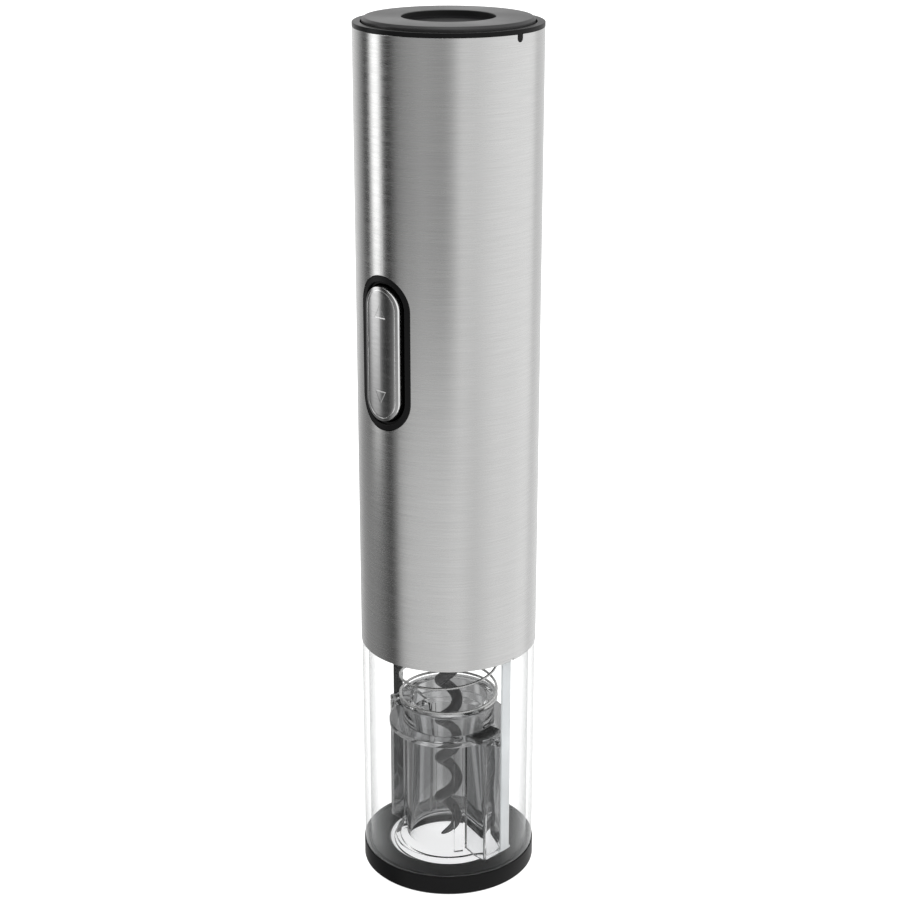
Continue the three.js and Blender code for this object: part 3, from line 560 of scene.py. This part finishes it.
def lug_tools(angle):
    """The helical slot and open mouth that one cover lug climbs through."""
    first, last = angle - SLOT_BACK, angle + SLOT_AHEAD
    drop = LUG_SLOPE * SLOT_BACK
    climb = LUG_SLOPE * (SLOT_BACK + SLOT_AHEAD)
    slot = arc_block("slot", (first, last), (20.8, 22.7), (237.0 - drop, 239.1 - drop), climb)
    mouth = arc_block("mouth", (last - MOUTH_SPAN, last), (20.8, 22.7), (240.5, 243))
    return [slot, mouth]


def top_collar():
    collar = turned("collar", [
        (22.6, 234.5), (24, 234.5), (24, RIM_LOW), (BODY_RADIUS, RIM_LOW, 0.08),
        (BODY_RADIUS, RIM_HIGH, 0.22), (COLLAR_INNER, RIM_HIGH, 0.15), (COLLAR_INNER, COLLAR_FLOOR),
        (21.5, COLLAR_FLOOR), (21.5, 236), (22.6, 236),
    ], 200)
    reach = (23.5, BODY_RADIUS - 0.05)
    key = box_piece("key", reach, (-KEY_HALF_WIDTH, KEY_HALF_WIDTH), (KEY_LOW, RIM_LOW + 0.3), 0.05)
    key_round = rod_along_x("key_round", KEY_HALF_WIDTH, reach, (0, KEY_LOW))
    combine(collar, [key, key_round], "UNION")
    combine(collar, [tool for angle in LUG_ANGLES for tool in lug_tools(angle)], "DIFFERENCE")
    return place(collar, "housing", "black_plastic", BLACK_PLASTIC, "top_collar")


def battery_cover():
    top = COVER_HIGH
    floor_height = top - COVER_WELL_DEPTH
    cover = turned("cover", [
        (0, 241.8), (1.4, 241.8), (1.4, 239.6), (3.2, 239.6), (3.2, COVER_LOW), (19.8, COVER_LOW),
        (19.8, 236.8), (21.2, 236.8), (21.2, COVER_LOW), (COVER_RADIUS, COVER_LOW),
        (COVER_RADIUS, top - 0.65, 0.25), (COVER_RADIUS - 0.65, top, 0.5),
        (COVER_WELL_RADIUS, top, 0.3), (COVER_WELL_RADIUS - 0.3, floor_height, 0.5), (0, floor_height),
    ], 200, 5)
    drop = LUG_SLOPE * LUG_REACH
    lugs = []
    for angle in LUG_ANGLES:
        span = (angle - LUG_REACH, angle + LUG_REACH)
        lugs.append(arc_block("lug", span, (20.9, 22.4), (237.3 - drop, 238.8 - drop), 2 * drop, 8))
    combine(cover, lugs, "UNION")
    place(cover, "cover", "cap_plastic", CAP_PLASTIC, "battery_cover")

    def in_well(x, y, z):
        return z > COVER_LOW + 0.2 and math.hypot(x, y) < COVER_WELL_RADIUS - 0.02

    # The faces in the well take the darker plastic, a painted shade in the recess.
    repaint(cover, CAP_WELL_PAINTED_SHADE_PLASTIC, in_well)
    return cover


def clear_sleeve():
    low = BASE_HIGH + 0.1
    high = SHELL_LOW - 0.1
    spigot_inner = SLEEVE_INNER - 0.3
    sleeve = turned("sleeve", [
        (23.3, 3.1), (SLEEVE_SPIGOT, 3.1), (SLEEVE_SPIGOT, low), (SLEEVE_RADIUS, low, 0.2),
        (SLEEVE_RADIUS, high, 0.2), (SLEEVE_SPIGOT, high), (SLEEVE_SPIGOT, SPIGOT_HIGH, 0.2),
        (spigot_inner, SPIGOT_HIGH, 0.2), (spigot_inner, SHELL_LOW + 1), (SLEEVE_INNER, SHELL_LOW - 1),
        (SLEEVE_INNER, low), (23.3, low),
    ], 200)
    sleeve.visible_shadow = False
    return place(sleeve, "housing", "clear_sleeve", CLEAR_SLEEVE, "clear_sleeve")


def base_ring():
    ring = turned("base", [
        (17.6, 0.5), (18.1, 0), (24.5, 0), (BODY_RADIUS, 0.5), (BODY_RADIUS, BASE_HIGH, 0.25),
        (24.2, BASE_HIGH), (24.2, 3), (23.1, 3), (23.1, BASE_HIGH, 0.1), (17.6, BASE_HIGH, 0.5),
    ], 200)
    return place(ring, "housing", "black_plastic", BLACK_PLASTIC, "base_ring")


# ---- the rocker and its bezel -----------------------------------------------------------------

# The edge and the fine groove inside it, whose near-white metal is a painted highlight, are measured
# inwards from the rocker's outline.
ROCKER_EDGE_WIDTH = 0.15
ROCKER_EDGE_DEPTH = 0.38
ROCKER_BORDER_DROP = 0.1
GROOVE_INSETS = (0.95, 1.17)
FACE_INSET = 1.25
FACE_STEPS = 8
ARROW_OFFSET = 11.4
ARROW_SCALE = 2.0
ARROW_LINE = 0.405
ARROW_DEPTH = 0.18
ARROW_CORNERS = [(0, 1.15), (-1, -0.72), (1, -0.72)]


def switch_bezel():
    width, length = BEZEL_HALF_WIDTH, BEZEL_HALF_LENGTH
    inner_width, inner_length = BEZEL_INNER_HALF_WIDTH, BEZEL_INNER_HALF_LENGTH
    step_width, step_length = inner_width + BEZEL_STEP, inner_length + BEZEL_STEP
    face = BODY_RADIUS
    bezel = stadium_loft("bezel", [
        (width, length, BEZEL_LOW), (width, length, face - 0.16),
        (width - 0.16, length - 0.16, face - 0.01),
        (step_width + 0.15, step_length + 0.15, face - 0.02), (step_width, step_length, face - 0.12),
        (step_width, step_length, face - 0.75), (inner_width, inner_length, face - 0.85),
        (inner_width, inner_length, BEZEL_LOW),
    ], True)
    return place(bezel, "housing", "black_plastic", BLACK_PLASTIC, "switch_bezel")


def arrow_groove(side):
    """A triangle outline that points up (1) or down (-1), as a cutter for a thin groove."""
    middle = ROCKER_MIDDLE + side * ARROW_OFFSET
    vertices = []
    for depth in (-ROCKER_CROWN - 1, -ROCKER_CROWN + ARROW_DEPTH):
        for scale in (ARROW_SCALE, ARROW_SCALE - ARROW_LINE):
            for x, z in ARROW_CORNERS:
                vertices.append((x * scale, depth, middle + side * z * scale))
    faces = []
    for i in range(3):
        j = (i + 1) % 3
        faces.append((i, j, j + 3, i + 3))
        faces.append((i + 6, j + 6, j + 9, i + 9))
        faces.append((i, j, j + 6, i + 6))
        faces.append((i + 3, j + 3, j + 9, i + 9))
    return new_piece("arrow_groove", vertices, faces)


def rocker_inset(x, z):
    """How far a point of the rocker's face lies inside its outline."""
    past = max(0, abs(z - ROCKER_MIDDLE) - (ROCKER_HALF_LENGTH - ROCKER_HALF_WIDTH))
    return ROCKER_HALF_WIDTH - math.hypot(x, past)


def rocker_button():
    width, length, crown = ROCKER_HALF_WIDTH, ROCKER_HALF_LENGTH, ROCKER_CROWN
    border = crown - ROCKER_BORDER_DROP
    edge_low = border - ROCKER_EDGE_DEPTH
    profile = [
        (0.1, 22.3), (0, 22.5), (0, edge_low), (ROCKER_EDGE_WIDTH, border - 0.02), (0.25, crown - 0.1),
        (GROOVE_INSETS[0], crown - 0.06), (1.0, crown - 0.30), (1.12, crown - 0.30),
        (GROOVE_INSETS[1], crown - 0.03), (FACE_INSET, crown - 0.02),
    ]
    for step in range(1, FACE_STEPS + 1):
        share = step / FACE_STEPS
        inset = FACE_INSET + (width - FACE_INSET - 0.05) * share
        profile.append((inset, crown - 0.02 * (1 - share)))
    loops = [(width - inset, length - inset, radius) for inset, radius in profile]
    button = stadium_loft("rocker", loops, False, 40)
    combine(button, [arrow_groove(1), arrow_groove(-1)], "DIFFERENCE", 40)
    place(button, "rocker", "bright_steel", ROCKER_STEEL, "rocker_button")

    # The edge, the groove and the arrows take the near-white metal: painted highlights on real edges
    # and grooves.
    def on_painted_highlight_line(x, y, z):
        inset = rocker_inset(x, z)
        out = math.hypot(x, y)
        on_edge = inset < ROCKER_EDGE_WIDTH and out > edge_low
        in_arrow = inset > 1.3 and 22.6 < out < crown - 0.06
        return on_edge or GROOVE_INSETS[0] < inset < GROOVE_INSETS[1] or in_arrow

    repaint(button, ROCKER_EDGE, on_painted_highlight_line)
    return button


# ---- inside the clear sleeve ------------------------------------------------------------------

GUIDE_BORE = 11
GUIDE_OUTER = 12.3
GUIDE_COLLAR = 13.3
GUIDE_LIP = 14.2
GUIDE_RIBS = (-33, 33, 147, 213)
FLANGE_RADIUS = 17.3
FLANGE_LOW = 43.2
FLANGE_HIGH = 44.8
RAIL_MIDDLE = 0.8
WING_OUTER = 19.6
WING_SPAN = (-4.8, 4.3)
WING_LOW = 6.2
TONGUE_SPAN = (-2.4, 2)
WORM_RADIUS = 2.5
WORM_WIRE = 1.6
WORM_PITCH = 12.67
# One angle of the helix in degrees, and the height where it has that angle.
WORM_START = (224.2, 18.4)
# The heights between which the helix runs in to the axis.
WORM_FADE = (82, 91)
WORM_STEPS = 460
SPRING_RADIUS = 14
SPRING_WIRE = 0.38
SPRING_PITCH = 8.8
FIN_THICK = 0.9


def outwards(side, near, far):
    """Limits along X, counted outwards from the axis on the left (-1) or the right (1)."""
    return (near, far) if side > 0 else (-far, -near)


def beside_rail(reach):
    """Limits along Y, the same distance each side of a rail's middle."""
    return (RAIL_MIDDLE - reach, RAIL_MIDDLE + reach)


def corkscrew():
    """A right-hand helix that runs in to the axis at its top and to a point at its tip."""
    centres, radii = [], []
    for i in range(WORM_STEPS + 1):
        share = i / WORM_STEPS
        z = WORM_TIP + (WORM_TOP - WORM_TIP) * share
        fade = min(1, max(0, (z - WORM_FADE[0]) / (WORM_FADE[1] - WORM_FADE[0])))
        fade = fade * fade * (3 - 2 * fade)
        angle = math.radians(WORM_START[0]) + 2 * math.pi * (z - WORM_START[1]) / WORM_PITCH
        out = WORM_RADIUS * (1 - fade)
        centres.append((out * math.cos(angle), out * math.sin(angle), z))
        radii.append(max(0.06, WORM_WIRE * min(1, math.sqrt(share / 0.075))))
    worm = swept("worm", centres, radii, 20)
    return place(worm, "spindle", "worm_coating", WORM_COATING, "corkscrew")


def return_spring():
    """A coil with a closed turn at each end."""
    low, high = GUIDE_HIGH + SPRING_WIRE + 0.1, SPRING_HIGH - SPRING_WIRE
    end_rise = 2 * SPRING_WIRE + 0.1
    open_turns = (high - low - 2 * end_rise) / SPRING_PITCH
    turns = open_turns + 2
    steps = int(turns * 44)
    centres = []
    for i in range(steps + 1):
        turn = turns * i / steps
        z = low + end_rise * min(turn, 1) + SPRING_PITCH * min(max(turn - 1, 0), open_turns)
        z += end_rise * max(0, turn - 1 - open_turns)
        angle = 2 * math.pi * turn
        centres.append((SPRING_RADIUS * math.cos(angle), SPRING_RADIUS * math.sin(angle), z))
    spring = swept("spring", centres, [SPRING_WIRE] * len(centres), 10)
    place(spring, "housing", "spring_steel", SPRING_STEEL, "return_spring")
    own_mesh(spring)
    return spring


def guide_wing(side):
    """The pieces of one wing: a shelf, a tongue beside the rail, an outer plate and two fins."""
    front, back = WING_SPAN
    plate = outwards(side, WING_OUTER - 1, WING_OUTER - 0.02)
    plate_span = (front + 0.02, back - 0.02)
    tongue_heights = (FLANGE_LOW + 0.05, FLANGE_HIGH - 0.05)
    pieces = [
        box_piece("shelf", outwards(side, 13, WING_OUTER), WING_SPAN, (FLANGE_LOW, FLANGE_HIGH), 0.2),
        box_piece("tongue", outwards(side, 19, 22), TONGUE_SPAN, tongue_heights, 0.15),
        box_piece("plate", plate, plate_span, (WING_LOW, FLANGE_HIGH - 0.02), 0.15),
    ]
    for span in ((front, front + FIN_THICK), (back - FIN_THICK, back)):
        fin = outwards(side, 11.2, WING_OUTER - 0.3)
        pieces.append(box_piece("fin", fin, span, (WING_LOW + 0.02, FLANGE_LOW + 0.2), 0.12))
    return pieces


def cork_guide():
    """A clear tube with a stepped bell at its foot, a flange, a collar, ribs and two wings."""
    guide = turned("guide", [
        (GUIDE_BORE, 6.6, 0.2), (14, 5.6), (14, 4.9), (15.6, 4.2), (15.6, 3.5),
        (FLANGE_RADIUS, GUIDE_LOW, 0.2), (FLANGE_RADIUS, 5, 0.2), (15.6, 5.8), (15.6, 6.4, 0.2),
        (GUIDE_OUTER, 7.4), (GUIDE_OUTER, FLANGE_LOW), (FLANGE_RADIUS, FLANGE_LOW, 0.25),
        (FLANGE_RADIUS, FLANGE_HIGH, 0.25), (GUIDE_COLLAR, FLANGE_HIGH, 0.2),
        (GUIDE_COLLAR, GUIDE_HIGH - 1.1, 0.3), (GUIDE_LIP, GUIDE_HIGH - 0.6, 0.15),
        (GUIDE_LIP, GUIDE_HIGH, 0.2), (GUIDE_BORE, GUIDE_HIGH, 0.3),
    ], 160)
    parts = guide_wing(-1) + guide_wing(1)
    rib = (GUIDE_OUTER - 0.4, GUIDE_OUTER + 1.1)
    for angle in GUIDE_RIBS:
        parts.append(arc_block("rib", (angle - 5.5, angle + 5.5), rib, (6, FLANGE_LOW + 0.2), 0, 6))
    notches = []
    for side in (-1, 1):
        notches.append(box_piece("notch", outwards(side, 21.2, 24), beside_rail(2.1), (40, 52)))
    combine(guide, parts, "UNION")
    combine(guide, notches, "DIFFERENCE")
    guide.visible_shadow = False
    return place(guide, "guide", "clear_guide", CLEAR_GUIDE, "cork_guide")


def guide_rail(side, name, slot, material):
    low, high = level(f"guide_rail_{name}", 0, 2), level(f"guide_rail_{name}", 1, 2)
    near, far = beside_rail(1.7)
    strip = box_piece(f"rail_{name}", outwards(side, 21.5, 22.1), (near, far), (low, high), 0.08)
    head_z, foot_z = (high - 1.6, high - 0.01), (low + 0.01, low + 0.7)
    head = box_piece("head", outwards(side, 20.6, 22.0), (near - 1, far + 0.4), head_z, 0.08)
    foot = box_piece("foot", outwards(side, 20.8, 22.08), (near - 0.4, far + 0.5), foot_z, 0.08)
    combine(strip, [head, foot], "UNION")
    return place(strip, "housing", slot, material, f"guide_rail_{name}")


# ---- stage, light and camera ------------------------------------------------------------------

CAMERA_AZIMUTH = 44.2
CAMERA_DISTANCE = 0.50744
CAMERA_HEIGHT = 0.30903
CAMERA_PITCH = 19.71
FLOOR_REACH = 9000
FLOOR_HEIGHT = -0.01
WALL_SIDES = 96


def camera():
    data = bpy.data.cameras.new("camera")
    data.lens = 77.55
    data.sensor_width = 36
    data.shift_x = 0.0016
    eye = bpy.data.objects.new("camera", data)
    turn = math.radians(CAMERA_AZIMUTH)
    eye.location = (CAMERA_DISTANCE * math.sin(turn), -CAMERA_DISTANCE * math.cos(turn), CAMERA_HEIGHT)
    eye.rotation_euler = (math.radians(90 - CAMERA_PITCH), 0, turn)
    bpy.context.scene.collection.objects.link(eye)
    bpy.context.scene.camera = eye


def floor():
    shader = Shader("pale_floor", (0.60, 0.60, 0.60), 0.8, specular_ior_level=0.0)
    shader.set("Emission Color", (1, 1, 1, 1))
    shader.set("Emission Strength", 0.82)
    shader.vary_color(shader.noise((3, 3, 3)), 0.01)
    corners = [(-1, -1), (1, -1), (1, 1), (-1, 1)]
    vertices = [(x * FLOOR_REACH, y * FLOOR_REACH, FLOOR_HEIGHT) for x, y in corners]
    ground = new_piece("floor", vertices, [(0, 1, 2, 3)])
    ground.data.materials.append(shader.material)
    ground.visible_glossy = False


# Brightness round the studio walls. The angle is counted from the wall's own -Y, positive towards its
# own +X. Each row is (angle, brightness high up, brightness low down).
REFLECTED_WALL = [
    (-180, 1.00, 0.90), (-150, 0.85, 0.60), (-134, 0.60, 0.35), (-122, 0.28, 0.30),
    (-113, 0.05, 0.28), (-105, 0.05, 0.26), (-98, 1.75, 0.22), (-88, 1.75, 0.18), (-82, 0.08, 0.12),
    (-72, 0.02, 0.05), (-66, 0.16, 0.30), (-60, 0.28, 0.60), (-50, 0.35, 0.70), (-30, 0.42, 0.74),
    (-5, 0.36, 0.79), (3, 0.46, 0.82), (14, 0.80, 0.84), (32, 0.77, 0.72), (60, 0.90, 0.88),
    (80, 0.97, 0.90), (105, 1.02, 1.00), (115, 0.98, 0.98), (123, 0.70, 0.74), (150, 0.78, 0.90),
    (180, 1.00, 0.90),
]
REFRACTED_WALL = [
    (-180, 0.34, 0.20), (-176, 0.30, 0.19), (-174, 0.50, 0.34), (-170, 0.50, 0.34), (-168, 0.30, 0.20),
    (-163, 0.30, 0.20), (-161, 0.60, 0.42), (-155, 0.60, 0.42), (-153, 0.20, 0.10), (-140, 0.18, 0.09),
    (-100, 0.25, 0.10), (-60, 0.15, 0.05), (0, 0.80, 0.60), (60, 0.30, 0.05), (100, 0.30, 0.10),
    (140, 0.22, 0.08), (153, 0.24, 0.10), (155, 0.50, 0.36), (158, 0.50, 0.36), (160, 0.24, 0.13),
    (166, 0.24, 0.13), (168, 0.42, 0.30), (171, 0.30, 0.18), (180, 0.34, 0.20),
]
BRIGHTEST = 2.0


def studio_wall(name, radius, heights, rows, change, rays_it_meets):
    """A round glowing wall of soft panels. Its brightness changes with angle, and with height
    between the two levels given in metres. Only the kinds of light ray named can meet it."""
    vertices, faces = [], []
    for side in range(WALL_SIDES):
        angle = 2 * math.pi * side / WALL_SIDES
        for z in heights:
            vertices.append((radius * math.cos(angle), radius * math.sin(angle), z))
    for side in range(WALL_SIDES):
        a, b = 2 * side, 2 * ((side + 1) % WALL_SIDES)
        faces.append((a, b, b + 1, a + 1))
    wall = new_piece(name, vertices, faces)
    wall.rotation_euler = (0, 0, math.radians(CAMERA_AZIMUTH))
    wall.data.materials.append(panel_material(name, rows, change))
    for rays in ("camera", "diffuse", "glossy", "transmission", "volume_scatter", "shadow"):
        setattr(wall, f"visible_{rays}", rays in rays_it_meets)


def panel_material(name, rows, change):
    """Emission by angle round Z, and by height between two levels."""
    material = bpy.data.materials.new(name)
    material.use_nodes = True
    tree = material.node_tree
    tree.nodes.clear()

    def math_node(operation, *values):
        made = tree.nodes.new("ShaderNodeMath")
        made.operation = operation
        for socket, value in zip(made.inputs, values):
            if isinstance(value, float):
                socket.default_value = value
            else:
                tree.links.new(value, socket)
        return made.outputs[0]

    def share_between(value, low, high):
        remap = tree.nodes.new("ShaderNodeMapRange")
        remap.inputs["From Min"].default_value = low
        remap.inputs["From Max"].default_value = high
        tree.links.new(value, remap.inputs["Value"])
        return remap.outputs["Result"]

    coordinates = tree.nodes.new("ShaderNodeTexCoord")
    parts = tree.nodes.new("ShaderNodeSeparateXYZ")
    tree.links.new(coordinates.outputs["Object"], parts.inputs["Vector"])
    x, y, z = parts.outputs
    near = math_node("MULTIPLY", y, -1.0)
    angle_share = share_between(math_node("ARCTAN2", x, near), -math.pi, math.pi)

    def brightness(column):
        curve = tree.nodes.new("ShaderNodeFloatCurve")
        places = [((row[0] + 180) / 360, row[column] / BRIGHTEST) for row in rows]
        points = curve.mapping.curves[0].points
        points[0].location = places[0]
        points[1].location = places[-1]
        for place_on_curve in places[1:-1]:
            points.new(*place_on_curve)
        for point in points:
            point.handle_type = "VECTOR"
        curve.mapping.update()
        tree.links.new(angle_share, curve.inputs["Value"])
        return curve.outputs["Value"]

    mix = tree.nodes.new("ShaderNodeMix")
    tree.links.new(share_between(z, *change), mix.inputs["Factor"])
    tree.links.new(brightness(2), mix.inputs["A"])
    tree.links.new(brightness(1), mix.inputs["B"])
    emission = tree.nodes.new("ShaderNodeEmission")
    tree.links.new(math_node("MULTIPLY", mix.outputs["Result"], BRIGHTEST), emission.inputs["Strength"])
    output = tree.nodes.new("ShaderNodeOutputMaterial")
    tree.links.new(emission.outputs[0], output.inputs["Surface"])
    return material


def soft_light(name, place_at, aim_at, size, power):
    data = bpy.data.lights.new(name, "AREA")
    data.shape = "DISK"
    data.size = size
    data.energy = power
    lamp = bpy.data.objects.new(name, data)
    lamp.location = place_at
    lamp.rotation_euler = (Vector(aim_at) - Vector(place_at)).to_track_quat("-Z", "Y").to_euler()
    lamp.visible_camera = False
    bpy.context.scene.collection.objects.link(lamp)


def studio():
    scene = bpy.context.scene
    scene.view_settings.view_transform = "Standard"
    scene.cycles.max_bounces = 24
    scene.cycles.transmission_bounces = 20
    scene.cycles.transparent_max_bounces = 24
    scene.cycles.glossy_bounces = 8
    world = bpy.data.worlds.new("studio")
    world.use_nodes = True
    background = world.node_tree.nodes["Background"]
    background.inputs["Color"].default_value = (1, 1, 1, 1)
    background.inputs["Strength"].default_value = 1.05
    scene.world = world
    soft_light("overhead", (0.2, -0.2, 1.6), (0, 0, 0.1), 1.6, 5)
    soft_light("fill", (1.1, 0.3, 0.8), (0, 0, 0.12), 1.0, 2)


camera()
floor()
studio_wall("reflected_wall", 210, (-500, 900), REFLECTED_WALL, (0.055, 0.14), ("glossy",))
studio_wall("refracted_wall", 27, (0.05, 400), REFRACTED_WALL, (0.02, 0.04), ("transmission",))
studio()
finish_cad_nodes()
steel_shell()
top_collar()
battery_cover()
clear_sleeve()
base_ring()
switch_bezel()
rocker_button()
corkscrew()
return_spring()
cork_guide()
# The two rails are the same part in lit and shaded copies: grey on the right is painted light, black on
# the left is painted shade.
guide_rail(-1, "left", "black_plastic", BLACK_PLASTIC)
guide_rail(1, "right", "grey_plastic", GREY_PLASTIC)
